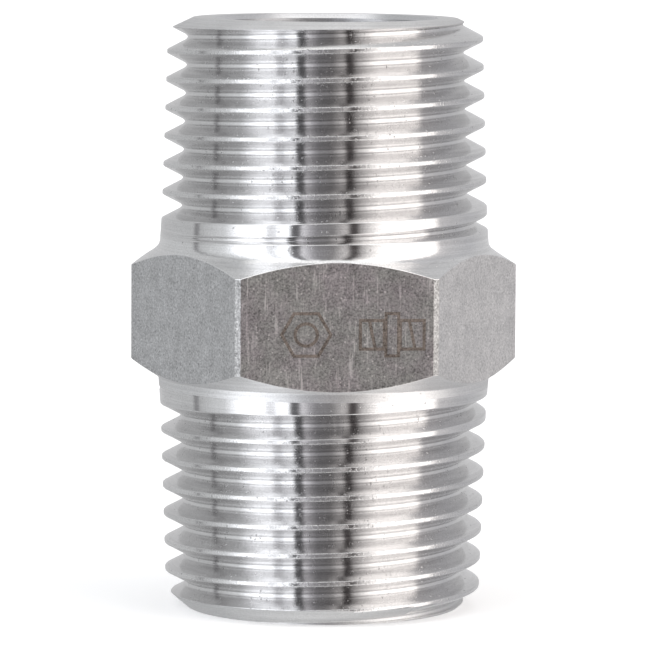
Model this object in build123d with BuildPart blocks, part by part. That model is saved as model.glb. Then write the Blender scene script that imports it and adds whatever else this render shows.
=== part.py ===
from build123d import *

# Hex nipple: two 1/2 in tapered male pipe threads, 14 to the inch, turned on the ends of one
# piece of hexagon bar and bored through. It is a single physical piece of stainless steel.
# Frame: +Z along the bore, origin at the centre of the lower end face, the marked flat faces -Y.
# All lengths are in millimetres and all angles in degrees.

import os
from math import atan, cos, degrees, radians, tan

# Hexagon bar and turned body
TOTAL_LENGTH = 38.1
ACROSS_FLATS = 21.8
CORNER_DIAMETER = 24.94     # the bar's corners are skimmed to this diameter
HEX_BOTTOM = 16.08          # heights between which the corners have their full diameter
HEX_TOP = 22.16
SHOULDER_ANGLE = 33.0       # slope of the hexagon's two end chamfers, from a plane square to +Z
BORE_DIAMETER = 14.0
MOUTH_CHAMFER = 0.3

# Threaded ends. Lengths along an end are measured from its own end face.
PITCH = 25.4 / 14
TAPER = 1 / 32              # growth in radius with length: 1 in 16 on the diameter
FLANK_ANGLE = 27.5          # each flank, from a plane square to +Z
THREAD_DEPTH = 1.28
ROOT_FLAT = 0.2
LOWER_END_RADIUS = 10.16    # over the crests, at the end face
UPPER_END_RADIUS = 10.12
LOWER_FULL_THREAD = 12.81   # to where the tool starts to leave the groove
UPPER_FULL_THREAD = 12.53
LOWER_RUN_OUT_AT = -89.0    # where it starts to leave, around +Z from +X
UPPER_RUN_OUT_AT = 101.6
RUN_OUT_SLOPE = 45.0        # the path of the tool as it leaves, from +Z
RUN_OUT_LENGTH = 1.5
TOOL_CLEARANCE = 0.1        # how far the tool's section reaches past the crests

# End chamfers: width across the radius, and slope from the end face
LOWER_CHAMFER_WIDTH = 1.27
LOWER_CHAMFER_ANGLE = 40.5
UPPER_CHAMFER_WIDTH = 1.59
UPPER_CHAMFER_ANGLE = 25.3

# Plain collars between the threads and the hexagon
LOWER_COLLAR_START = 12.89
UPPER_COLLAR_START = 12.68
LOWER_COLLAR_RADIUS = 10.71  # at the hexagon
UPPER_COLLAR_RADIUS = 10.65
UPPER_COLLAR_FILLET = 0.8

# Generic mark in the front flat: a hexagon nut, and a nipple seen from the side
MARK_DEPTH = 0.05
MARK_LINE = 0.2
MARK_HEIGHT = 2.86
MARK_ACROSS = 0.76          # centre of the mark, to the right of the flat's middle
MARK_UP = 18.69             # and its height
MARK_SPACING = 5.4          # between the centres of the two figures
NUT_HOLE_RADIUS = 0.8
SHANK_LENGTH = 1.7          # the small nipple's threaded ends
SHANK_HEIGHT = 2.0
BODY_LENGTH = 1.0           # and its hexagon
TURN_ANGLE = 12.0           # slope of the lines that stand for its threads


def tool_turn(height, rise, radius, cone_angle):
    """Path of the tool's tip up to one turn round +Z, starting over +X on a cone."""
    climb = PITCH / cos(radians(cone_angle))
    return Edge.make_helix(climb, rise, radius, (0, 0, height), (0, 0, 1), cone_angle)


def thread_groove(end_radius, full_thread):
    """The solid that the threading tool takes out of one end, with its run-out.

    The end face is at height 0 and the hexagon above it. The run-out starts over +X.
    """
    turns = int(full_thread / PITCH) + 1
    start = full_thread - turns * PITCH
    heights = [start + turn * PITCH for turn in range(turns)]
    root_at_face = end_radius - THREAD_DEPTH
    cone_angle = degrees(atan(TAPER))
    turn_paths = [tool_turn(z, PITCH, root_at_face + TAPER * z, cone_angle) for z in heights]
    run_out = tool_turn(full_thread, RUN_OUT_LENGTH, root_at_face + TAPER * full_thread, RUN_OUT_SLOPE)
    spindle = Edge.make_line((0, 0, start), (0, 0, full_thread + RUN_OUT_LENGTH))

    start_root = root_at_face + TAPER * start
    reach = THREAD_DEPTH + TOOL_CLEARANCE
    root_half = ROOT_FLAT / 2
    mouth_half = root_half + reach * tan(radians(FLANK_ANGLE))
    with BuildSketch(Plane.XZ) as tool:
        with BuildLine():
            Polyline(
                (start_root, start - root_half),
                (start_root + reach, start - mouth_half),
                (start_root + reach, start + mouth_half),
                (start_root, start + root_half),
                close=True,
            )
        make_face()
    with BuildPart() as groove:
        sweep(sections=tool.sketch, path=Wire([*turn_paths, run_out]), binormal=spindle)
    return groove.part


def end_corners(end_radius, chamfer_width, chamfer_angle, collar_start, collar_radius):
    """Corners of one end's outline as (radius, length from its end face), and its shoulder's height."""
    slope = tan(radians(chamfer_angle))
    chamfer_length = chamfer_width * slope / (1 - TAPER * slope)
    corners = [
        (0, 0),
        (end_radius - chamfer_width, 0),
        (end_radius + TAPER * chamfer_length, chamfer_length),
        (end_radius + TAPER * collar_start, collar_start),
    ]
    shoulder = (CORNER_DIAMETER / 2 - collar_radius) * tan(radians(SHOULDER_ANGLE))
    return corners, shoulder


def nut_figure():
    """Outline of a hexagon nut with its hole, left of the mark's centre."""
    with BuildSketch() as figure:
        with Locations((-MARK_SPACING / 2, 0)):
            RegularPolygon(MARK_HEIGHT / 2, 6, major_radius=False)
            RegularPolygon(MARK_HEIGHT / 2 - MARK_LINE, 6, major_radius=False, mode=Mode.SUBTRACT)
            Circle(NUT_HOLE_RADIUS)
            Circle(NUT_HOLE_RADIUS - MARK_LINE, mode=Mode.SUBTRACT)
    return figure.sketch


def nipple_figure():
    """Outline of a small nipple lying on its side, right of the mark's centre."""
    shank_middle = (BODY_LENGTH + SHANK_LENGTH - MARK_LINE) / 2
    with BuildSketch() as figure:
        with Locations((MARK_SPACING / 2, 0)):
            Rectangle(BODY_LENGTH, MARK_HEIGHT)
            Rectangle(BODY_LENGTH - 2 * MARK_LINE, MARK_HEIGHT - 2 * MARK_LINE, mode=Mode.SUBTRACT)
        for side in (-1, 1):
            with Locations((MARK_SPACING / 2 + side * shank_middle, 0)):
                Rectangle(SHANK_LENGTH, SHANK_HEIGHT)
                Rectangle(SHANK_LENGTH - 2 * MARK_LINE, SHANK_HEIGHT - 2 * MARK_LINE, mode=Mode.SUBTRACT)
                Rectangle(MARK_LINE, SHANK_HEIGHT - MARK_LINE, rotation=TURN_ANGLE)
    return figure.sketch


# Hexagon bar turned to its outline, and bored
lower_corners, lower_shoulder = end_corners(
    LOWER_END_RADIUS, LOWER_CHAMFER_WIDTH, LOWER_CHAMFER_ANGLE, LOWER_COLLAR_START, LOWER_COLLAR_RADIUS
)
upper_corners, upper_shoulder = end_corners(
    UPPER_END_RADIUS, UPPER_CHAMFER_WIDTH, UPPER_CHAMFER_ANGLE, UPPER_COLLAR_START, UPPER_COLLAR_RADIUS
)
upper_corners = [(radius, TOTAL_LENGTH - length) for radius, length in reversed(upper_corners)]
upper_collar_end = (UPPER_COLLAR_RADIUS, HEX_TOP + upper_shoulder)

with BuildPart() as hex_nipple:
    with BuildSketch():
        RegularPolygon(ACROSS_FLATS / 2, 6, major_radius=False)
    extrude(amount=TOTAL_LENGTH)
    with BuildSketch(Plane.XZ) as outline:
        with BuildLine():
            Polyline(
                *lower_corners,
                (LOWER_COLLAR_RADIUS, HEX_BOTTOM - lower_shoulder),
                (CORNER_DIAMETER / 2, HEX_BOTTOM),
                (CORNER_DIAMETER / 2, HEX_TOP),
                upper_collar_end,
                *upper_corners,
                close=True,
            )
        make_face()
        foot = (UPPER_COLLAR_RADIUS, 0, upper_collar_end[1])
        collar_corner = outline.vertices().sort_by_distance(foot)[0]
        fillet(collar_corner, UPPER_COLLAR_FILLET)
    revolve(axis=Axis.Z, mode=Mode.INTERSECT)
    Hole(BORE_DIAMETER / 2)
    bore = hex_nipple.faces().filter_by(GeomType.CYLINDER).sort_by(SortBy.AREA)[-1]
    chamfer(bore.edges().filter_by(GeomType.CIRCLE), MOUTH_CHAMFER)

    # Both figures are cut as thin lines into the front flat
    mark_centre = (MARK_ACROSS, -ACROSS_FLATS / 2, MARK_UP)
    with BuildSketch(Plane(origin=mark_centre, x_dir=(1, 0, 0), z_dir=(0, -1, 0))):
        add(nut_figure())
        add(nipple_figure())
    extrude(amount=-MARK_DEPTH, mode=Mode.SUBTRACT)

    # Both grooves are right-handed, each cut in from its own end
    lower_start = Vector(1, 0, 0).rotate(Axis.Z, LOWER_RUN_OUT_AT)
    upper_start = Vector(1, 0, 0).rotate(Axis.Z, UPPER_RUN_OUT_AT)
    with Locations(Plane(origin=(0, 0, 0), x_dir=lower_start, z_dir=(0, 0, 1))):
        add(thread_groove(LOWER_END_RADIUS, LOWER_FULL_THREAD), mode=Mode.SUBTRACT)
    with Locations(Plane(origin=(0, 0, TOTAL_LENGTH), x_dir=upper_start, z_dir=(0, 0, -1))):
        add(thread_groove(UPPER_END_RADIUS, UPPER_FULL_THREAD), mode=Mode.SUBTRACT)

hex_nipple.part.label = "hex_nipple"
os.makedirs("parts", exist_ok=True)
export_step(hex_nipple.part, "parts/hex_nipple.step")
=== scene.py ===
import math

import bpy
import numpy as np
from mathutils import Matrix, Vector
from mathutils.geometry import delaunay_2d_cdt


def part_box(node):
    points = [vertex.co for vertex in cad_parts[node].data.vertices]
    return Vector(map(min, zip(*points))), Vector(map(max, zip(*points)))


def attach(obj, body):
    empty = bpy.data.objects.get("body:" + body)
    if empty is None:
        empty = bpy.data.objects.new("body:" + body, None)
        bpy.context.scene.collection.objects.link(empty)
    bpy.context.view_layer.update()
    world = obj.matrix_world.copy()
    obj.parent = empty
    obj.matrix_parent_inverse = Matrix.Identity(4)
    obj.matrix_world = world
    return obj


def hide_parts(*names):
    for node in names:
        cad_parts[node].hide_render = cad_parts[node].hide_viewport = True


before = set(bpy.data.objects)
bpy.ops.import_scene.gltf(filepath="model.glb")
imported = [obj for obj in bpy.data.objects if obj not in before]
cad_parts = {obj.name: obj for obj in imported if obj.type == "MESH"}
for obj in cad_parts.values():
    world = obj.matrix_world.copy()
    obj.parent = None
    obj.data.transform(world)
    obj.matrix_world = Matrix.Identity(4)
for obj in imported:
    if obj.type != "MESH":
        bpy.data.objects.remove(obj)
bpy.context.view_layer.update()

# The nipple's outside is one height map, a radius for every angle round +Z and every height. It is
# laid out on rings that follow the thread's helix and the hexagon's edges, so each edge is a row of
# points. Lengths are in millimetres, and angles in degrees unless a comment says otherwise.
MM = 0.001
NODE = "hex_nipple"

# Hexagon bar and turned body, from the frame's box and the part's own driving dimensions
low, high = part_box(NODE)
TOTAL_LENGTH = (high.z - low.z) / MM
FLAT_RADIUS = (high.y - low.y) / 2 / MM      # from the axis to a flat
CORNER_RADIUS = (high.x - low.x) / 2 / MM    # and to a skimmed corner
HEX_BOTTOM = 16.08
HEX_TOP = 22.16
SHOULDER_ANGLE = 33.0        # slope of the hexagon's end chamfers, from a plane square to +Z
SHOULDER_SLOPE = math.tan(math.radians(SHOULDER_ANGLE))
BORE_RADIUS = 7.0
MOUTH_CHAMFER = 0.3

# Thread: 14 to the inch on a taper of 1 in 16
PITCH = 25.4 / 14
TAPER = 1 / 32
FLANK_SLOPE = math.tan(math.radians(27.5))
THREAD_DEPTH = 1.28
ROOT_HALF = 0.1
RUN_OUT_LENGTH = 1.5

# Rounding of the edges, as blend heights between two surfaces
CREST_BLEND = 0.1
ROOT_BLEND = 0.1
LAND_BLEND = 0.012           # between a flat and its corner land
CREASE_BLEND = 0.08          # between a flat and the turned shoulder
CREASE_FADE = 0.3            # the land's blend turns into the crease's over this height

# Rounding of the turned outline's corners, as radii
CHAMFER_ROUNDING = 0.06      # between an end chamfer and the thread's crests
COLLAR_ROUNDING = 1.0        # between the thread's crests and the collar
CORNER_ROUNDING = 0.05       # between a shoulder and the hexagon's full diameter

# Each threaded end, with lengths from its own end face. turn is +1 where the groove climbs away
# from the face as the angle grows, and -1 where it climbs as the angle falls.
LOWER = {
    "end_radius": 10.16, "chamfer_width": 1.27, "chamfer_angle": 40.5, "full_thread": 12.81,
    "run_out_at": -89.0, "collar_start": 12.89, "collar_radius": 10.71, "fillet": 0.12, "turn": 1,
}
UPPER = {
    "end_radius": 10.12, "chamfer_width": 1.59, "chamfer_angle": 25.3, "full_thread": 12.53,
    "run_out_at": 101.6, "collar_start": 12.68, "collar_radius": 10.65, "fillet": 0.8, "turn": -1,
}
THREAD_ZONE = 1.55           # the spiral rows end this far past the full thread

# Generic mark: a hexagon nut, and a nipple seen from the side
MARK_DEPTH = 0.05
MARK_LINE = 0.2
MARK_HEIGHT = 2.86
MARK_ACROSS = 0.76
MARK_UP = 18.69
MARK_SPACING = 5.4
NUT_HOLE_RADIUS = 0.8
SHANK_LENGTH = 1.7
SHANK_HEIGHT = 2.0
BODY_LENGTH = 1.0
TURN_ANGLE = 12.0

# Columns of the mesh: even steps round the axis, and more at the six corner lands
COLUMN_STEP = 1.2
LAND_HALF = 30.0 - math.degrees(math.acos(FLAT_RADIUS / CORNER_RADIUS))
LAND_EDGE = 0.13                         # columns stand this far each side of a land's edge
LAND_INSIDE = 0.5                        # and this far each side of its middle
MARK_HALF = 23 * COLUMN_STEP             # half the angle that the marked patch spans
FRONT = 270.0                            # the angle of the marked flat
ONE_FLAT_HALF = 29.9                     # columns nearer a flat's middle than this are on it
TWO_FLATS_HALF = 59.9                    # and the same for two flats that meet

# Rows of the mesh, as distances along the axis
CREASE_STEP = 0.055                      # rows stand this far above and below a crease
ROOT_INSIDE = ROOT_HALF - 0.05           # rows each side of the rounding between root and flank
ROOT_OUTSIDE = ROOT_HALF + 0.06
CREST_MARGIN = 0.02                      # from where a flank meets the crest to the crest's first row
SNAP = 0.004                             # a row this near its border joins it
NARROW = 0.01                            # tells equal angles and heights apart

ROWS_PER_TURN = 13
CREST_WEIGHT = "crest_weight"            # the mesh's own value: 1 on a crest, 0 on flanks and roots
ROW_WEIGHTS = (1, 0.4, 0, 0, 0, 0, 0, 0, 0.4, 1, 0.8, 0.8, 0.8)

# Places of the colours in Blender's Mix node, where the name of each socket repeats
MIX_FIRST = 6
MIX_SECOND = 7
MIX_RESULT = 2


# ---------------------------------------------------------------------------------------- shape

def smooth_min(a, b, blend):
    """The lower of two surfaces, with their edge rounded over a height of blend."""
    overlap = np.maximum(blend - np.abs(a - b), 0.0)
    return np.minimum(a, b) - overlap**2 / (4 * blend)


def fillet_points(before, corner, after, radius, steps=12):
    """Points of the arc that rounds a corner of the outline."""
    before, corner, after = (np.array(p, float) for p in (before, corner, after))
    to_before = (before - corner) / np.linalg.norm(before - corner)
    to_after = (after - corner) / np.linalg.norm(after - corner)
    half_angle = math.acos(float(to_before @ to_after)) / 2
    bisector = (to_before + to_after) / np.linalg.norm(to_before + to_after)
    centre = corner + bisector * radius / math.sin(half_angle)
    reach = radius / math.tan(half_angle)
    start = corner + to_before * reach - centre
    end = corner + to_after * reach - centre
    turned = math.pi - 2 * half_angle
    points = []
    for step in range(steps + 1):
        share = step / steps
        a = math.sin((1 - share) * turned) / math.sin(turned)
        b = math.sin(share * turned) / math.sin(turned)
        points.append(tuple(centre + a * start + b * end))
    return points


def end_outline(end):
    """Corners of one end's outline, as (length from its end face, radius, rounding)."""
    slope = math.tan(math.radians(end["chamfer_angle"]))
    chamfer_length = end["chamfer_width"] * slope / (1 - TAPER * slope)
    shoulder = (CORNER_RADIUS - end["collar_radius"]) * SHOULDER_SLOPE
    hex_start = HEX_BOTTOM if end is LOWER else TOTAL_LENGTH - HEX_TOP
    return [
        (0.0, end["end_radius"] - end["chamfer_width"], 0.0),
        (chamfer_length, end["end_radius"] + TAPER * chamfer_length, CHAMFER_ROUNDING),
        (end["collar_start"], end["end_radius"] + TAPER * end["collar_start"], COLLAR_ROUNDING),
        (hex_start - shoulder, end["collar_radius"], end["fillet"]),
        (hex_start, CORNER_RADIUS, CORNER_ROUNDING),
    ]


def turned_outline():
    """Heights and radii of the turned body's outline, from the lower face to the upper one."""
    corners = end_outline(LOWER)
    corners += [(TOTAL_LENGTH - z, r, rounding) for z, r, rounding in reversed(end_outline(UPPER))]
    points = [corners[0][:2]]
    for i in range(1, len(corners) - 1):
        before, corner, after = (corners[j][:2] for j in (i - 1, i, i + 1))
        points += fillet_points(before, corner, after, corners[i][2])
    points.append(corners[-1][:2])
    return np.array(points).T


OUTLINE_Z, OUTLINE_R = turned_outline()


def blank_radius(z):
    """Radius of the turned body before it is threaded."""
    return np.interp(z, OUTLINE_Z, OUTLINE_R)


def flat_radius(angle):
    """Distance from the axis to the hexagon bar's side."""
    off = np.radians((angle + 30.0 + 30.0) % 60.0 - 30.0)
    return FLAT_RADIUS / np.cos(off)


def length_along(end, z):
    """Length from an end's own face to a height, or the height at a length: it works both ways."""
    return z if end is LOWER else TOTAL_LENGTH - z


def groove_radius(end, travel, off):
    """The groove's surface at a distance off its middle.

    travel is in turns past the full thread, below 0 within it. Past the run-out there is no groove.
    """
    middle = end["full_thread"] + PITCH * travel
    root = end["end_radius"] - THREAD_DEPTH + TAPER * np.minimum(middle, end["full_thread"])
    root = root + PITCH * np.maximum(travel, 0.0)
    flank = (np.abs(off) - ROOT_HALF) / FLANK_SLOPE
    # The higher of the root and its flanks, with a rounding between them
    surface = root - smooth_min(-flank, 0.0 * flank, ROOT_BLEND)
    return np.where(travel < RUN_OUT_LENGTH / PITCH, surface, CORNER_RADIUS + 1.0)


def groove_phase(end, angle):
    """How far round its turn the groove is at an angle, in turns from where it starts to run out."""
    return (end["turn"] * (angle - end["run_out_at"]) / 360.0) % 1.0


def outside_radius(angle, z):
    """The finished outside: the hexagon and the turned body, less both grooves."""
    past_band = np.maximum(HEX_BOTTOM - z, z - HEX_TOP)
    blend = LAND_BLEND + (CREASE_BLEND - LAND_BLEND) * np.clip(past_band / CREASE_FADE, 0.0, 1.0)
    radius = smooth_min(flat_radius(angle), blank_radius(z), blend)
    for end in (LOWER, UPPER):
        along = length_along(end, z)
        phase = groove_phase(end, angle)
        nearest = np.round((along - end["full_thread"]) / PITCH - phase)
        for neighbour in (-1, 0, 1):
            travel = phase + nearest + neighbour
            off = along - end["full_thread"] - PITCH * travel
            groove = groove_radius(end, travel, off)
            in_end = along < end["full_thread"] + 2 * PITCH
            groove = np.where(in_end, groove, CORNER_RADIUS + 1.0)
            radius = smooth_min(radius, groove, CREST_BLEND)
    return radius


def outside_normal(angle, z):
    """Unit normals of the outside, from its slopes round and along the axis."""
    step = 0.004
    radius = outside_radius(angle, z)
    turn = np.degrees(step / radius)
    round_slope = (outside_radius(angle + turn, z) - outside_radius(angle - turn, z)) / (2 * step)
    above = np.minimum(z + step, TOTAL_LENGTH)
    below = np.maximum(z - step, 0.0)
    along_slope = (outside_radius(angle, above) - outside_radius(angle, below)) / (above - below)
    a = np.radians(angle)
    normal = np.stack([
        np.cos(a) + round_slope * np.sin(a),
        np.sin(a) - round_slope * np.cos(a),
        -along_slope,
    ], axis=-1)
    return normal / np.linalg.norm(normal, axis=-1, keepdims=True)


# ------------------------------------------------------------------------------------ mesh rows

def column_angles():
    """Angles of the mesh's columns round +Z, in order."""
    angles = list(np.arange(0.0, 360.0, COLUMN_STEP))
    for corner in range(6):
        for off in (LAND_INSIDE, LAND_HALF - LAND_EDGE, LAND_HALF, LAND_HALF + LAND_EDGE):
            angles += [(60.0 * corner + side * off) % 360.0 for side in (-1, 1)]
    return np.array(sorted(angles))


ANGLES = column_angles()


def crest_edge(end, travel, side):
    """Distance from the groove's middle to where its flank comes out of the blank, towards side."""
    reach = np.linspace(0.0, 0.55 * PITCH, 300)
    middle = end["full_thread"] + PITCH * travel
    along = middle[..., None] + side * reach
    groove = groove_radius(end, travel[..., None], reach)
    cut = blank_radius(length_along(end, along)) > groove
    last = cut.shape[-1] - 1 - np.argmax(cut[..., ::-1], axis=-1)
    return np.where(cut.any(axis=-1), reach[last], 0.0) + CREST_MARGIN


def spiral_rows(end):
    """Lengths from the end face of the spiral rows at each column, and the seam's column.

    The rows of one turn are the root, both flanks, both rounded crest edges and the crest's middle.
    Where the groove narrows, in its run-out, shares of its width keep them in order.
    """
    seam_angle = min(ANGLES, key=lambda a: abs(a - end["run_out_at"] % 360.0))
    seam = int(np.argmin(np.abs(ANGLES - seam_angle)))
    around = (end["turn"] * (ANGLES - seam_angle)) % 360.0 / 360.0
    offset = end["turn"] * (seam_angle - end["run_out_at"] % 360.0) / 360.0
    first = -int(end["full_thread"] / PITCH) - 3
    last = 2
    turns = np.arange(first, last + 1)
    travel = around[:, None] + offset + turns[None, :]
    middle = end["full_thread"] + PITCH * travel
    below = crest_edge(end, travel, -1)
    above = crest_edge(end, travel, 1)
    next_below = crest_edge(end, travel + 1, -1)
    edge_step = CREST_BLEND * FLANK_SLOPE
    rows = []
    for side, width in ((-1, below), (1, above)):
        rounding = np.minimum(edge_step, 0.25 * width)
        root_outer = np.minimum(ROOT_OUTSIDE, 0.35 * width)
        root_inner = np.minimum(ROOT_INSIDE, 0.12 * width)
        flank = (root_outer + width - rounding) / 2
        half = [side * width for width in (root_inner, root_outer, flank, width - rounding, width)]
        rows += half[::-1] if side < 0 else half
    crest = PITCH - above - next_below
    rounding = np.minimum(edge_step, 0.25 * crest)
    rows += [above + rounding, above + crest / 2, above + crest - rounding]
    lengths = middle[:, :, None] + np.stack(rows, axis=-1)
    return lengths.reshape(len(ANGLES), -1), seam


def middle_rows():
    """Heights of the rows between the two threads, and which of them bound the hexagon's sides."""
    lower_zone = LOWER["full_thread"] + THREAD_ZONE
    upper_zone = TOTAL_LENGTH - UPPER["full_thread"] - THREAD_ZONE
    side = np.minimum(flat_radius(ANGLES), CORNER_RADIUS - 0.001)
    middle = (HEX_BOTTOM + HEX_TOP) / 2
    lower_part = (OUTLINE_Z > lower_zone) & (OUTLINE_Z < middle)
    upper_part = (OUTLINE_Z < upper_zone) & (OUTLINE_Z > middle)
    lower_crease = np.interp(side, OUTLINE_R[lower_part], OUTLINE_Z[lower_part])
    upper_crease = np.interp(side, OUTLINE_R[upper_part][::-1], OUTLINE_Z[upper_part][::-1])
    lower_foot = HEX_BOTTOM - (CORNER_RADIUS - LOWER["collar_radius"]) * SHOULDER_SLOPE
    upper_foot = HEX_TOP + (CORNER_RADIUS - UPPER["collar_radius"]) * SHOULDER_SLOPE
    fillet_reach = math.tan(math.radians(90.0 - SHOULDER_ANGLE) / 2)
    lower_arc = lower_foot - LOWER["fillet"] * fillet_reach - NARROW
    upper_arc = upper_foot + UPPER["fillet"] * fillet_reach + NARROW
    level = np.zeros_like(ANGLES)

    def between(start, stop, shares):
        return [level + start + (stop - start) * share for share in shares]

    rows = between(lower_zone, lower_arc, (0, 0.5, 1))
    rows += between(lower_arc, lower_crease - CREASE_STEP, (0.15, 0.3, 0.5, 0.75, 1))
    rows += [lower_crease]
    side_start = len(rows)
    rows += between(lower_crease + CREASE_STEP, upper_crease - CREASE_STEP, (0, 0.2, 0.4, 0.6, 0.8, 1))
    side_end = len(rows) - 1
    rows += [upper_crease]
    rows += between(upper_crease + CREASE_STEP, upper_arc, (0, 0.16, 0.32, 0.48, 0.64, 0.8, 0.9, 1))
    rows += between(upper_arc, upper_zone, (0.5, 1))
    return np.stack(rows, axis=1), side_start, side_end


# ------------------------------------------------------------------------------------ mesh build

class Skin:
    """Points with their crest weights, and faces with their corners' normals and their materials.

    All of it is gathered here before the mesh is made.
    """

    def __init__(self):
        self.points = []
        self.normals = []
        self.faces = []
        self.corners = []
        self.kinds = []
        self.weights = []

    def add_point(self, point, normal=(0.0, 0.0, 0.0), weight=0.0):
        self.points.append(tuple(point))
        self.normals.append(tuple(normal))
        self.weights.append(weight)
        return len(self.points) - 1

    def add_face(self, ids, kind, normal=None):
        """A face whose repeated points are dropped. Without a normal it takes its points' own."""
        kept = [i for n, i in enumerate(ids) if i != ids[n - 1]]
        if len(set(kept)) < 3:
            return
        self.faces.append(kept)
        self.kinds.append(kind)
        self.corners.append([self.normals[i] if normal is None else normal for i in kept])


KINDS = [
    "thread", "turned", "soft_turned", "land", "flat", "painted_lit_flat", "marked_flat", "mark",
    "end_face", "bore",
]


def cylinder_point(radius, angle, z):
    """The point at a radius, an angle round +Z and a height."""
    a = math.radians(angle)
    return radius * math.cos(a), radius * math.sin(a), z


def add_grid_points(skin, heights):
    """Adds outside points at every column for the given heights, and returns their numbers."""
    angles = np.repeat(ANGLES[:, None], heights.shape[1], axis=1)
    radii = outside_radius(angles, heights)
    normals = outside_normal(angles, heights)
    ids = np.zeros(heights.shape, int)
    for column in range(heights.shape[0]):
        for row in range(heights.shape[1]):
            point = cylinder_point(radii[column, row], ANGLES[column], heights[column, row])
            ids[column, row] = skin.add_point(point, normals[column, row])
    return ids


def add_spiral(skin, end, zone_ids):
    """The threaded end's outside, from its end face to the ring of points zone_ids."""
    lengths, seam = spiral_rows(end)
    zone = end["full_thread"] + THREAD_ZONE
    face_height = length_along(end, 0.0)
    face_ring = add_grid_points(skin, np.full((len(ANGLES), 1), face_height))[:, 0]
    near_face = lengths <= SNAP
    near_zone = lengths >= zone - SNAP
    heights = length_along(end, lengths)
    angles = np.repeat(ANGLES[:, None], heights.shape[1], axis=1)
    inside = ~(near_face | near_zone)
    safe = np.clip(heights, 0.0, TOTAL_LENGTH)
    radii = outside_radius(angles, safe)
    normals = outside_normal(angles, safe)
    ids = np.where(near_face, face_ring[:, None], zone_ids[:, None])
    for column, row in np.argwhere(inside):
        point = cylinder_point(radii[column, row], ANGLES[column], heights[column, row])
        full = lengths[column, row] < end["full_thread"] - PITCH / 2
        weight = ROW_WEIGHTS[row % ROWS_PER_TURN] if full else 0.0
        ids[column, row] = skin.add_point(point, normals[column, row], weight)
    columns, rows = lengths.shape
    chamfer_end = end_outline(end)[1][0]
    uncut = radii > blank_radius(safe) - CREST_BLEND / 2
    on_chamfer = near_face | (lengths < 0.6 * chamfer_end) | ((lengths < chamfer_end + CREST_MARGIN) & uncut)

    def at(column, row):
        if row < 0:
            return face_ring[column]
        if row >= rows:
            return zone_ids[column]
        return ids[column, row]

    def chamfered(column, row):
        return row < 0 or (row < rows and on_chamfer[column, row])

    for column in range(columns):
        following = (column + 1) % columns
        crosses = (following == seam) if end["turn"] > 0 else (column == seam)
        shift = end["turn"] * ROWS_PER_TURN if crosses else 0
        for row in range(-ROWS_PER_TURN, rows + ROWS_PER_TURN):
            corners = [
                (column, row), (following, row + shift),
                (following, row + 1 + shift), (column, row + 1),
            ]
            if end is UPPER:
                corners.reverse()
            chamfer = all(chamfered(*corner) for corner in corners)
            skin.add_face([at(*corner) for corner in corners], "end_face" if chamfer else "thread")
    return face_ring


def add_middle(skin):
    """Collars, shoulders and hexagon sides. The marked patch is left open and its edge returned."""
    heights, side_start, side_end = middle_rows()
    ids = add_grid_points(skin, heights)
    columns, rows = heights.shape
    off_front = np.abs((ANGLES - FRONT + 180.0) % 360.0 - 180.0)
    in_patch = off_front < MARK_HALF + NARROW
    on_front = off_front < ONE_FLAT_HALF
    on_right = np.abs((ANGLES + 180.0) % 360.0 - 180.0) < TWO_FLATS_HALF
    on_land = np.abs((ANGLES + NARROW + 30.0) % 60.0 - 30.0) < LAND_HALF
    for column in range(columns):
        following = (column + 1) % columns
        # The flats on the +X side, to the camera's right, get a lighter copy of the drawn flat's steel:
        # painted light for the bright cards they face.
        flat = "marked_flat" if on_front[column] else "painted_lit_flat" if on_right[column] else "flat"
        side = "land" if on_land[column] else flat
        for row in range(rows - 1):
            between_creases = side_start <= row < side_end
            if between_creases and in_patch[column] and in_patch[following]:
                continue
            on_side = side_start - 1 <= row <= side_end
            kind = side if on_side else "soft_turned" if row < side_start else "turned"
            quad = [ids[column, row], ids[following, row], ids[following, row + 1], ids[column, row + 1]]
            skin.add_face(quad, kind)
    patch = np.nonzero(in_patch)[0]
    patch = patch[np.argsort(ANGLES[patch])]
    edge = [ids[c, side_start] for c in patch]
    edge += [ids[patch[-1], r] for r in range(side_start + 1, side_end + 1)]
    edge += [ids[c, side_end] for c in patch[-2::-1]]
    edge += [ids[patch[0], r] for r in range(side_end - 1, side_start, -1)]
    return ids[:, 0], ids[:, -1], edge


def ring_quads(centre, inner, outer, count, start=0.0):
    """A closed band between two regular polygons, as quads."""
    quads = []
    for step in range(count):
        quad = []
        for radius, turn in ((inner, step), (outer, step), (outer, step + 1), (inner, step + 1)):
            a = math.radians(start + 360.0 * (turn % count) / count)
            quad.append((centre + radius * math.cos(a), radius * math.sin(a)))
        quads.append(quad)
    return quads


def box_quads(centre, width, height):
    """The outline of a rectangle as four quads."""
    x, y = width / 2, height / 2
    inner = [(-x + MARK_LINE, -y + MARK_LINE), (x - MARK_LINE, -y + MARK_LINE),
             (x - MARK_LINE, y - MARK_LINE), (-x + MARK_LINE, y - MARK_LINE)]
    outer = [(-x, -y), (x, -y), (x, y), (-x, y)]
    quads = []
    for n in range(4):
        quad = (inner[n], outer[n], outer[(n + 1) % 4], inner[(n + 1) % 4])
        quads.append([(centre + a, b) for a, b in quad])
    return quads


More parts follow.
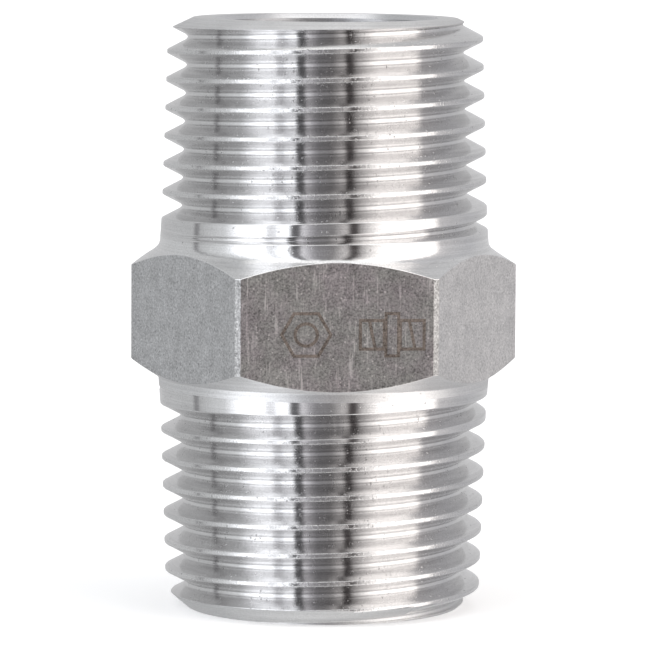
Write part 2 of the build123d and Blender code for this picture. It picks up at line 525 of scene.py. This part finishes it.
def mark_quads():
    """Every line of the mark as quads, in the front flat's own plane, from the mark's centre."""
    nut = -MARK_SPACING / 2
    apothem = math.cos(math.radians(30.0))
    quads = ring_quads(nut, (MARK_HEIGHT / 2 - MARK_LINE) / apothem, MARK_HEIGHT / 2 / apothem, 6)
    quads += ring_quads(nut, NUT_HOLE_RADIUS - MARK_LINE, NUT_HOLE_RADIUS, 36)
    nipple = MARK_SPACING / 2
    quads += box_quads(nipple, BODY_LENGTH, MARK_HEIGHT)
    shank_middle = (BODY_LENGTH + SHANK_LENGTH - MARK_LINE) / 2
    for side in (-1, 1):
        centre = nipple + side * shank_middle
        quads += box_quads(centre, SHANK_LENGTH, SHANK_HEIGHT)
        turn = Matrix.Rotation(math.radians(TURN_ANGLE), 2)
        half = (MARK_LINE / 2, (SHANK_HEIGHT - MARK_LINE) / 2)
        corners = [Vector((a * half[0], b * half[1])) for a, b in ((-1, -1), (1, -1), (1, 1), (-1, 1))]
        quads.append([(centre + (turn @ c).x, (turn @ c).y) for c in corners])
    return quads


def add_mark(skin, edge):
    """Fills the marked patch: the flat with the mark's lines sunk into it."""
    flat_points = [Vector((skin.points[i][0], skin.points[i][2])) for i in edge]
    faces = [list(range(len(edge)))]
    for quad in mark_quads():
        first = len(flat_points)
        flat_points += [Vector((MARK_ACROSS + x, MARK_UP + z)) for x, z in quad]
        faces.append([first + n for n in range(4)])
    found = delaunay_2d_cdt(flat_points, [], faces, 1, 1e-5)
    points, _, triangles, sources, _, triangle_sources = found
    number = {}
    for new, old in enumerate(sources):
        of_edge = [n for n in old if n < len(edge)]
        if of_edge:
            number[new, False] = edge[of_edge[0]]

    def corner(index, sunk):
        if (index, sunk) not in number:
            y = -FLAT_RADIUS + (MARK_DEPTH if sunk else 0.0)
            number[index, sunk] = skin.add_point((points[index].x, y, points[index].y), (0, -1, 0))
        return number[index, sunk]

    sides = {}
    for triangle, inside_of in zip(triangles, triangle_sources):
        sunk = any(n > 0 for n in inside_of)
        ids = [corner(n, sunk) for n in triangle]
        skin.add_face(ids, "mark" if sunk else "marked_flat", (0.0, -1.0, 0.0))
        for n in range(3):
            sides[triangle[n], triangle[(n + 1) % 3]] = sunk
    for (a, b), sunk in sides.items():
        if not sunk and sides.get((b, a), False):
            along = points[b] - points[a]
            normal = Vector((along.y, 0.0, -along.x)).normalized()
            wall = [corner(b, False), corner(a, False), corner(a, True), corner(b, True)]
            skin.add_face(wall, "mark", tuple(normal))


def add_ring(skin, first, second, kind, normals):
    """Quads between two rings of points, with one normal for each column."""
    count = len(first)
    for column in range(count):
        following = (column + 1) % count
        skin.faces.append([first[column], first[following], second[following], second[column]])
        skin.kinds.append(kind)
        a, b = normals[column], normals[following]
        skin.corners.append([a, b, b, a])


def add_ends_and_bore(skin, lower_ring, upper_ring):
    """Both end faces, both mouth chamfers and the bore."""
    radial = [cylinder_point(1.0, angle, 0.0) for angle in ANGLES]

    def ring(radius, z):
        return [skin.add_point(cylinder_point(radius, angle, z)) for angle in ANGLES]

    def leaning(inward, upward):
        return [(inward * -x, inward * -y, upward) for x, y, _ in radial]

    down = [(0.0, 0.0, -1.0)] * len(ANGLES)
    up = [(0.0, 0.0, 1.0)] * len(ANGLES)
    slant = math.sqrt(0.5)
    mouth = BORE_RADIUS + MOUTH_CHAMFER
    lower_mouth = ring(mouth, 0.0)
    upper_mouth = ring(mouth, TOTAL_LENGTH)
    levels = np.linspace(MOUTH_CHAMFER, TOTAL_LENGTH - MOUTH_CHAMFER, 9)
    bore = [ring(BORE_RADIUS, z) for z in levels]
    add_ring(skin, lower_mouth, list(lower_ring), "end_face", down)
    add_ring(skin, bore[0], lower_mouth, "bore", leaning(slant, -slant))
    for below, above in zip(bore, bore[1:]):
        add_ring(skin, above, below, "bore", leaning(1.0, 0.0))
    add_ring(skin, upper_mouth, bore[-1], "bore", leaning(slant, slant))
    add_ring(skin, list(upper_ring), upper_mouth, "end_face", up)


def make_nipple(materials):
    """The whole nipple as one closed mesh."""
    skin = Skin()
    lower_zone, upper_zone, edge = add_middle(skin)
    add_mark(skin, edge)
    lower_face = add_spiral(skin, LOWER, lower_zone)
    upper_face = add_spiral(skin, UPPER, upper_zone)
    add_ends_and_bore(skin, lower_face, upper_face)
    used = sorted({int(i) for face in skin.faces for i in face})
    renumber = {old: new for new, old in enumerate(used)}
    mesh = bpy.data.meshes.new("nipple_steel")
    points = [tuple(MM * c for c in skin.points[i]) for i in used]
    mesh.from_pydata(points, [], [[renumber[int(i)] for i in face] for face in skin.faces])
    for kind in KINDS:
        mesh.materials.append(materials[kind])
    for polygon, kind in zip(mesh.polygons, skin.kinds):
        polygon.material_index = KINDS.index(kind)
        polygon.use_smooth = True
    weights = mesh.attributes.new(CREST_WEIGHT, "FLOAT", "POINT")
    weights.data.foreach_set("value", [float(skin.weights[i]) for i in used])
    normals = [tuple(float(c) for c in normal) for corners in skin.corners for normal in corners]
    mesh.normals_split_custom_set(normals)
    piece = bpy.data.objects.new("nipple_steel", mesh)
    bpy.context.scene.collection.objects.link(piece)
    return piece


# ------------------------------------------------------------------------------------- materials
# Lengths in the materials are in metres, so a scale of 1000 makes features of 1 mm.

class Nodes:
    """Short calls for building one material's nodes."""

    def __init__(self, name):
        self.material = bpy.data.materials.new(name)
        self.material.use_nodes = True
        self.tree = self.material.node_tree
        self.shader = self.tree.nodes["Principled BSDF"]

    def link(self, source, target):
        self.tree.links.new(source, target)

    def new(self, kind, **settings):
        node = self.tree.nodes.new(kind)
        for name, value in settings.items():
            setattr(node, name, value)
        return node

    def place(self, scale):
        """The surface's own place in metres, stretched by scale for each axis."""
        coordinates = self.new("ShaderNodeTexCoord")
        mapping = self.new("ShaderNodeMapping")
        mapping.inputs["Scale"].default_value = scale
        self.link(coordinates.outputs["Object"], mapping.inputs["Vector"])
        return mapping.outputs["Vector"]

    def noise(self, scale, detail=3.0, roughness=0.55):
        """Noise whose features measure 1/scale metres along each axis."""
        node = self.new("ShaderNodeTexNoise")
        node.inputs["Scale"].default_value = 1.0
        node.inputs["Detail"].default_value = detail
        node.inputs["Roughness"].default_value = roughness
        self.link(self.place(scale), node.inputs["Vector"])
        return node.outputs["Fac"]

    def ramp(self, value, stops):
        """Grey or colour stops along a value, as (place, colour)."""
        node = self.new("ShaderNodeValToRGB")
        elements = node.color_ramp.elements
        while len(elements) < len(stops):
            elements.new(0.5)
        for element, (place, colour) in zip(elements, stops):
            element.position = place
            element.color = (*colour, 1.0) if hasattr(colour, "__len__") else (colour, colour, colour, 1.0)
        self.link(value, node.inputs["Fac"])
        return node.outputs["Color"]

    def between(self, value, low_out, high_out, low_in=0.25, high_in=0.75):
        node = self.new("ShaderNodeMapRange")
        node.inputs["From Min"].default_value = low_in
        node.inputs["From Max"].default_value = high_in
        node.inputs["To Min"].default_value = low_out
        node.inputs["To Max"].default_value = high_out
        self.link(value, node.inputs["Value"])
        return node.outputs["Result"]

    def add(self, a, b, weight=1.0):
        node = self.new("ShaderNodeMath", operation="MULTIPLY_ADD")
        self.link(b, node.inputs[0])
        node.inputs[1].default_value = weight
        self.link(a, node.inputs[2])
        return node.outputs["Value"]

    def scaled(self, value, factor):
        node = self.new("ShaderNodeMath", operation="MULTIPLY")
        self.link(value, node.inputs[0])
        node.inputs[1].default_value = factor
        return node.outputs["Value"]

    def specks(self, scale, share):
        """Small round spots in that share of the cells of a pattern of 1/scale metres."""
        cells = self.new("ShaderNodeTexVoronoi", feature="F1")
        cells.inputs["Scale"].default_value = 1.0
        self.link(self.place((scale, scale, scale)), cells.inputs["Vector"])
        split = self.new("ShaderNodeSeparateColor")
        self.link(cells.outputs["Color"], split.inputs["Color"])
        size = self.between(split.outputs["Red"], 0.0, 0.28, 1.0 - share, 1.0)
        spot = self.new("ShaderNodeMath", operation="SUBTRACT")
        self.link(size, spot.inputs[0])
        self.link(cells.outputs["Distance"], spot.inputs[1])
        return self.between(spot.outputs["Value"], 0.0, 1.0, 0.0, 0.04)

    def torn_crest(self):
        """The mesh's own crest weight, and the spots where the tool has torn the crest."""
        weight = self.new("ShaderNodeAttribute", attribute_name=CREST_WEIGHT)
        tear = self.noise((6000.0, 6000.0, 6000.0), detail=2.0)
        both = self.new("ShaderNodeMath", operation="MULTIPLY")
        self.link(weight.outputs["Fac"], both.inputs[0])
        self.link(tear, both.inputs[1])
        return weight.outputs["Fac"], self.between(both.outputs["Value"], 0.0, 1.0, 0.45, 0.55)

    def tinted(self, colour, scale):
        """A colour that drifts slightly between a cool and a warm tint, in patches of 1/scale metres."""
        drift = self.noise((scale, scale, scale), detail=2.0)
        tint = self.ramp(drift, [(0.38, (1.03, 0.98, 1.0)), (0.62, (0.99, 1.0, 0.97))])
        node = self.new("ShaderNodeMix", data_type="RGBA", blend_type="MULTIPLY")
        node.inputs["Factor"].default_value = 1.0
        self.link(colour, node.inputs[MIX_FIRST])
        self.link(tint, node.inputs[MIX_SECOND])
        return node.outputs[MIX_RESULT]

    def bump(self, height, distance):
        node = self.new("ShaderNodeBump")
        node.inputs["Distance"].default_value = distance
        self.link(height, node.inputs["Height"])
        self.link(node.outputs["Normal"], self.shader.inputs["Normal"])

    def brushed_round(self, amount):
        """Stretches reflections along +Z, as fine turning marks round the axis do."""
        tangent = self.new("ShaderNodeTangent", direction_type="RADIAL", axis="Z")
        self.link(tangent.outputs["Tangent"], self.shader.inputs["Tangent"])
        self.shader.inputs["Anisotropic"].default_value = amount
        self.shader.inputs["Anisotropic Rotation"].default_value = 0.25


def turned_steel(name, colour, roughness, anisotropy, wave, speck_share):
    """Bright turned steel: fine rings, a slight waver round the axis, specks and rough crests."""
    n = Nodes(name)
    n.shader.inputs["Metallic"].default_value = 1.0
    rings = n.noise((60.0, 60.0, 9000.0), detail=4.0, roughness=0.6)
    waver = n.noise((1100.0, 1100.0, 2600.0), detail=2.0)
    grain = n.noise((14000.0, 14000.0, 14000.0), detail=1.0)
    patches = n.noise((450.0, 450.0, 900.0), detail=3.0)
    specks = n.specks(3300.0, speck_share)
    tone = n.add(n.add(n.scaled(rings, 0.4), grain, 0.45), patches, 0.15)
    dark, light = (tuple(c * s for c in colour) for s in (0.86, 1.14))
    n.link(n.ramp(tone, [(0.38, dark), (0.62, light)]), n.shader.inputs["Base Color"])
    crest, torn = n.torn_crest()
    rough = n.add(n.between(patches, roughness * 0.9, roughness * 1.1), crest, 0.08)
    rough = n.add(n.add(rough, specks, 0.4), torn, 0.15)
    n.link(rough, n.shader.inputs["Roughness"])
    n.brushed_round(anisotropy)
    height = n.add(n.add(n.add(n.scaled(rings, 0.003), waver, wave), specks, 0.004), torn, 0.004)
    n.bump(height, MM)
    return n.material


def grained_steel(name, colour, roughness, contrast, spots, scratches=0.0, tint=False):
    """The bar's drawn side: an even grain, spots, and perhaps scratches and tints.

    Spots above 0 are bright nicks and below 0 dark pits.
    """
    n = Nodes(name)
    n.shader.inputs["Metallic"].default_value = 1.0
    grain = n.noise((7500.0, 7500.0, 7500.0), detail=3.0, roughness=0.75)
    patches = n.noise((900.0, 900.0, 900.0), detail=3.0)
    tone = n.add(n.scaled(grain, 0.8), patches, 0.2)
    if scratches:
        lines = n.noise((6000.0, 6000.0, 400.0), detail=4.0, roughness=0.6)
        tone = n.add(tone, n.between(lines, 0.0, scratches, 0.58, 0.75))
    tone = n.add(tone, n.specks(4000.0, 0.8), spots)
    dark = tuple(c * (1.0 - contrast) for c in colour)
    light = tuple(c * (1.0 + contrast) for c in colour)
    shade = n.ramp(tone, [(0.32, dark), (0.72, light)])
    n.link(n.tinted(shade, 500.0) if tint else shade, n.shader.inputs["Base Color"])
    n.link(n.between(patches, roughness * 0.92, roughness * 1.08), n.shader.inputs["Roughness"])
    n.bump(n.scaled(grain, 0.012), MM)
    return n.material


materials = {
    "thread": turned_steel(
        "steel_thread", (0.7, 0.695, 0.695),
        roughness=0.12, anisotropy=0.95, wave=0.0008, speck_share=0.5,
    ),
    "turned": turned_steel(
        "steel_turned", (0.79, 0.788, 0.788),
        roughness=0.15, anisotropy=0.95, wave=0.003, speck_share=0.08,
    ),
    "soft_turned": turned_steel(
        "steel_soft_turned", (0.76, 0.758, 0.758),
        roughness=0.46, anisotropy=0.5, wave=0.003, speck_share=0.08,
    ),
    "land": grained_steel(
        "steel_corner_land", (0.425, 0.422, 0.418),
        roughness=0.46, contrast=0.7, spots=0.2,
    ),
    "flat": grained_steel(
        "steel_drawn_flat", (0.575, 0.575, 0.577),
        roughness=0.58, contrast=0.4, spots=-0.25,
    ),
    # The drawn flat's steel with a lighter colour, for the flats to the camera's right: painted light where
    # they face the bright cards on that side.
    "painted_lit_flat": grained_steel(
        "steel_painted_lit_flat", (0.69, 0.682, 0.682),
        roughness=0.58, contrast=0.35, spots=-0.25,
    ),
    "marked_flat": grained_steel(
        "steel_marked_flat", (0.445, 0.43, 0.426),
        roughness=0.42, contrast=0.66, spots=0.25, scratches=0.3, tint=True,
    ),
    "mark": grained_steel(
        "steel_mark", (0.33, 0.28, 0.245),
        roughness=0.5, contrast=0.7, spots=0.0,
    ),
    "end_face": turned_steel(
        "steel_end_face", (0.7, 0.7, 0.7),
        roughness=0.45, anisotropy=0.3, wave=0.0, speck_share=0.15,
    ),
    "bore": turned_steel(
        "steel_bore", (0.68, 0.68, 0.69),
        roughness=0.3, anisotropy=0.6, wave=0.002, speck_share=0.1,
    ),
}

nipple = make_nipple(materials)
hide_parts(NODE)
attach(nipple, "root")


# ---------------------------------------------------------------------------------------- studio

CAMERA_AZIMUTH = -4.435      # round +Z from -Y, towards +X
CAMERA_DISTANCE = 308.0      # from the axis, level
CAMERA_HEIGHT = 49.51        # above the lower end face
CAMERA_TILT = 5.774          # downwards
CAMERA_PAN = 0.0155          # left
CAMERA_ROLL = 0.331
CAMERA_LENS = 266.67
FLOOR_RADIUS = 4000.0
FLOOR_SIDES = 96


def make_camera():
    data = bpy.data.cameras.new("studio_camera")
    data.lens = CAMERA_LENS
    data.sensor_width = 36.0
    data.clip_start = 0.01
    data.clip_end = 20.0
    camera = bpy.data.objects.new("studio_camera", data)
    azimuth = math.radians(CAMERA_AZIMUTH)
    place = Vector((math.sin(azimuth), -math.cos(azimuth), 0.0)) * CAMERA_DISTANCE * MM
    place.z = CAMERA_HEIGHT * MM
    turn = Matrix.Rotation(azimuth + math.radians(CAMERA_PAN), 4, "Z")
    tilt = Matrix.Rotation(math.radians(90.0 - CAMERA_TILT), 4, "X")
    roll = Matrix.Rotation(math.radians(CAMERA_ROLL), 4, "Z")
    camera.matrix_world = Matrix.Translation(place) @ turn @ tilt @ roll
    bpy.context.scene.collection.objects.link(camera)
    bpy.context.scene.camera = camera


def make_floor():
    """A large pale disc. Steel doesn't mirror it: the studio's own light goes on below the horizon."""
    mesh = bpy.data.meshes.new("floor")
    rim = [cylinder_point(FLOOR_RADIUS * MM, 360.0 * n / FLOOR_SIDES, low.z) for n in range(FLOOR_SIDES)]
    mesh.from_pydata(rim, [], [list(range(FLOOR_SIDES))])
    n = Nodes("pale_floor")
    n.shader.inputs["Base Color"].default_value = (0.92, 0.92, 0.92, 1.0)
    n.shader.inputs["Roughness"].default_value = 0.9
    n.shader.inputs["Specular IOR Level"].default_value = 0.0
    n.shader.inputs["Emission Color"].default_value = (1.0, 1.0, 1.0, 1.0)
    n.shader.inputs["Emission Strength"].default_value = 0.3
    mesh.materials.append(n.material)
    floor = bpy.data.objects.new("floor", mesh)
    bpy.context.scene.collection.objects.link(floor)
    floor.visible_glossy = False


# Brightness round the object as (angle from the camera, positive to its right; red, green, blue)
STUDIO_BANDS = [
    (-180, 0.6, 0.6, 0.61), (-125, 0.61, 0.62, 0.63), (-105, 0.59, 0.6, 0.61), (-102.5, 0.3, 0.3, 0.31),
    (-100, 0.3, 0.3, 0.31), (-97, 0.57, 0.58, 0.59), (-74, 0.82, 0.84, 0.86), (-66, 1.35, 1.38, 1.43),
    (-57, 2.0, 2.05, 2.13), (-44, 2.1, 2.15, 2.24), (-40, 1.1, 1.12, 1.17), (-35.5, 1.05, 1.07, 1.12),
    (-32, 1.6, 1.64, 1.71), (-25, 1.75, 1.79, 1.86), (-22.5, 0.17, 0.17, 0.18), (-17.5, 0.17, 0.17, 0.18),
    (-15, 0.92, 0.91, 0.95), (-10, 0.54, 0.53, 0.56), (-5, 0.31, 0.305, 0.32), (6, 0.28, 0.271, 0.275),
    (14, 0.66, 0.635, 0.63), (16.5, 0.58, 0.555, 0.55), (18.5, 0.09, 0.08, 0.08), (23, 0.09, 0.08, 0.08),
    (25.5, 0.48, 0.46, 0.455), (34, 1.15, 1.11, 1.09), (46, 2.05, 1.97, 1.92), (82, 1.95, 1.87, 1.82),
    (89, 0.74, 0.72, 0.73), (104, 0.62, 0.615, 0.63), (122, 0.58, 0.58, 0.6), (150, 0.66, 0.66, 0.67),
]
# The rise of a direction (its share of +Z) where the ceiling or the floor starts and where it is
# full, and its brightness
OVERHEAD = (0.86, 0.93, 1.3)
UNDERFOOT = (-0.85, -0.95, 1.15)


def make_studio_light():
    """Tall soft cards round the object, a soft ceiling, and pale light from below."""
    world = bpy.data.worlds.new("studio")
    world.use_nodes = True
    tree = world.node_tree
    background = tree.nodes["Background"]

    def node(kind, **settings):
        made = tree.nodes.new(kind)
        for name, value in settings.items():
            setattr(made, name, value)
        return made

    direction = node("ShaderNodeTexCoord")
    split = node("ShaderNodeSeparateXYZ")
    tree.links.new(direction.outputs["Generated"], split.inputs["Vector"])
    turn = math.radians(CAMERA_AZIMUTH)
    level = []
    for along_x, along_y in ((math.cos(turn), math.sin(turn)), (math.sin(turn), -math.cos(turn))):
        scaled = node("ShaderNodeMath", operation="MULTIPLY")
        scaled.inputs[1].default_value = along_x
        tree.links.new(split.outputs["X"], scaled.inputs[0])
        both = node("ShaderNodeMath", operation="MULTIPLY_ADD")
        both.inputs[1].default_value = along_y
        tree.links.new(split.outputs["Y"], both.inputs[0])
        tree.links.new(scaled.outputs["Value"], both.inputs[2])
        level.append(both.outputs["Value"])
    angle = node("ShaderNodeMath", operation="ARCTAN2")
    tree.links.new(level[0], angle.inputs[0])
    tree.links.new(level[1], angle.inputs[1])
    share = node("ShaderNodeMapRange")
    share.inputs["From Min"].default_value = -math.pi
    share.inputs["From Max"].default_value = math.pi
    tree.links.new(angle.outputs["Value"], share.inputs["Value"])
    bands = node("ShaderNodeValToRGB")
    elements = bands.color_ramp.elements
    while len(elements) < len(STUDIO_BANDS):
        elements.new(0.5)
    for element, (place, red, green, blue) in zip(elements, STUDIO_BANDS):
        element.position = (place + 180.0) / 360.0
        element.color = (red, green, blue, 1.0)
    tree.links.new(share.outputs["Result"], bands.inputs["Fac"])
    previous = bands.outputs["Color"]
    for start, stop, brightness in (OVERHEAD, UNDERFOOT):
        rise = node("ShaderNodeMapRange", interpolation_type="SMOOTHSTEP")
        rise.inputs["From Min"].default_value = start
        rise.inputs["From Max"].default_value = stop
        tree.links.new(split.outputs["Z"], rise.inputs["Value"])
        mix = node("ShaderNodeMix", data_type="RGBA")
        tree.links.new(rise.outputs["Result"], mix.inputs["Factor"])
        tree.links.new(previous, mix.inputs[MIX_FIRST])
        mix.inputs[MIX_SECOND].default_value = (brightness, brightness, brightness, 1.0)
        previous = mix.outputs[MIX_RESULT]
    tree.links.new(previous, background.inputs["Color"])
    bpy.context.scene.world = world


make_camera()
make_floor()
make_studio_light()
bpy.context.scene.view_settings.view_transform = "Standard"
